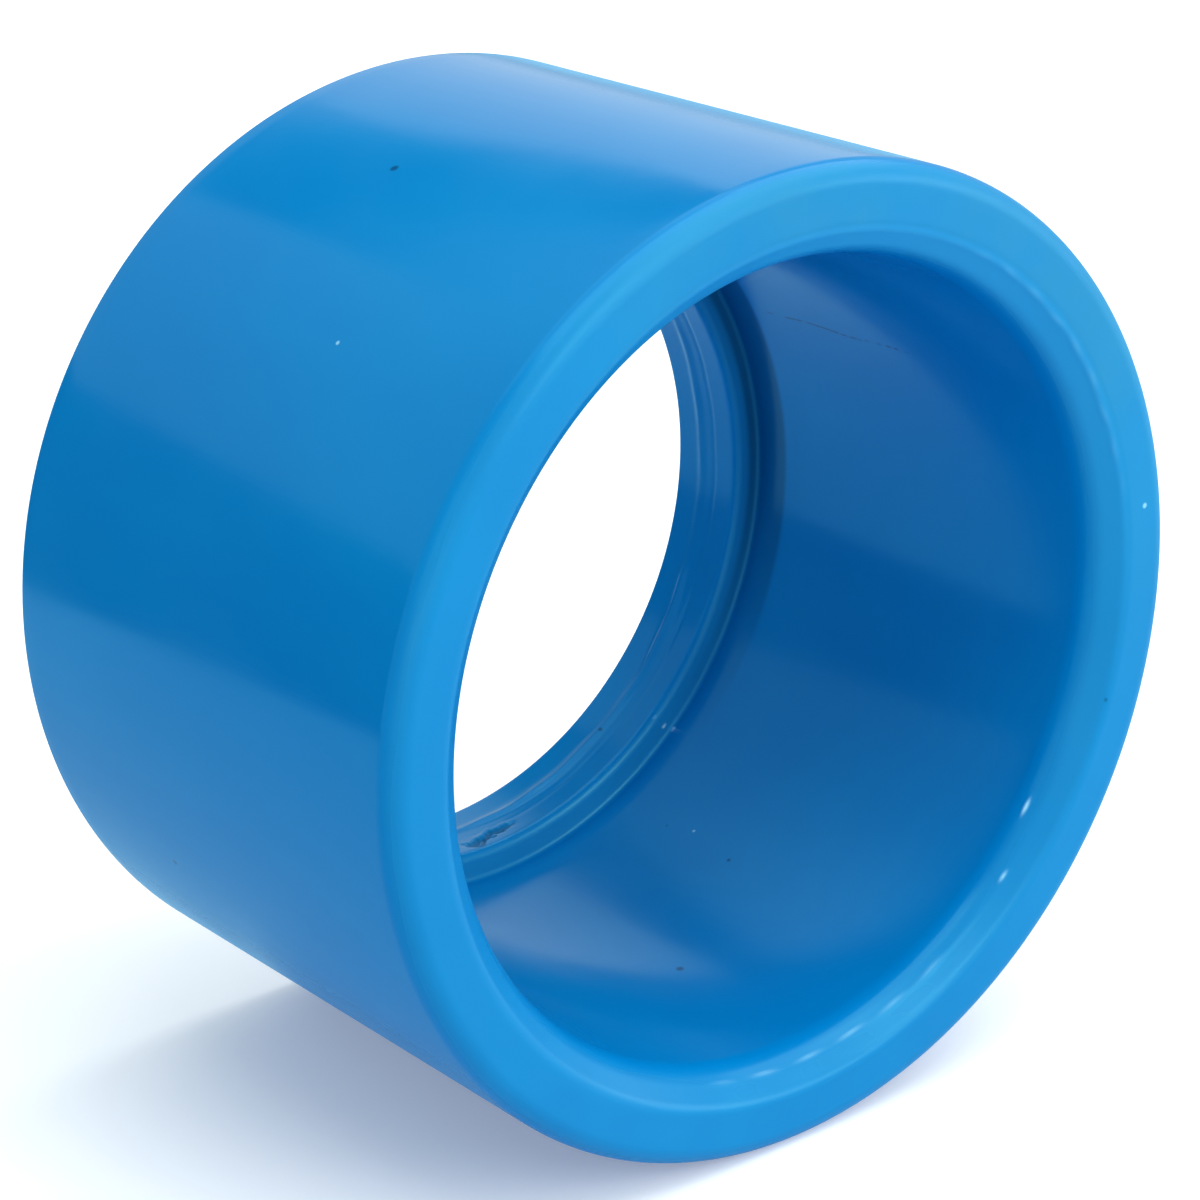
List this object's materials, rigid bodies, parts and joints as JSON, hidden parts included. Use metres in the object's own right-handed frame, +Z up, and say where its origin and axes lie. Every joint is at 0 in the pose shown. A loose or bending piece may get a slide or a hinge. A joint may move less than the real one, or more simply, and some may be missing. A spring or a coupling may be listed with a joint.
{
  "type": "reducing bush",
  "caption": "Short plastic reducing bush: a plain outside that cements into a larger pipe fitting, and a socket that takes a smaller pipe up to an inward lip.",
  "frame": {"origin": "on the bush's axis, midway between the mouth face and the lip end", "axes": "Y is the bush's axis: -Y points out of the socket's mouth and +Y out of the lip end; +Z is up, and the bush lies on its side on its outside wall at z = -0.025 m"},
  "size_m": [0.05, 0.031, 0.05],
  "materials": {
    "blue_pvc": "glossy injection-moulded PVC-U, solid blue"
  },
  "bodies": {
    "root": {"bush_body": "blue_pvc"}
  },
  "joints": []
}
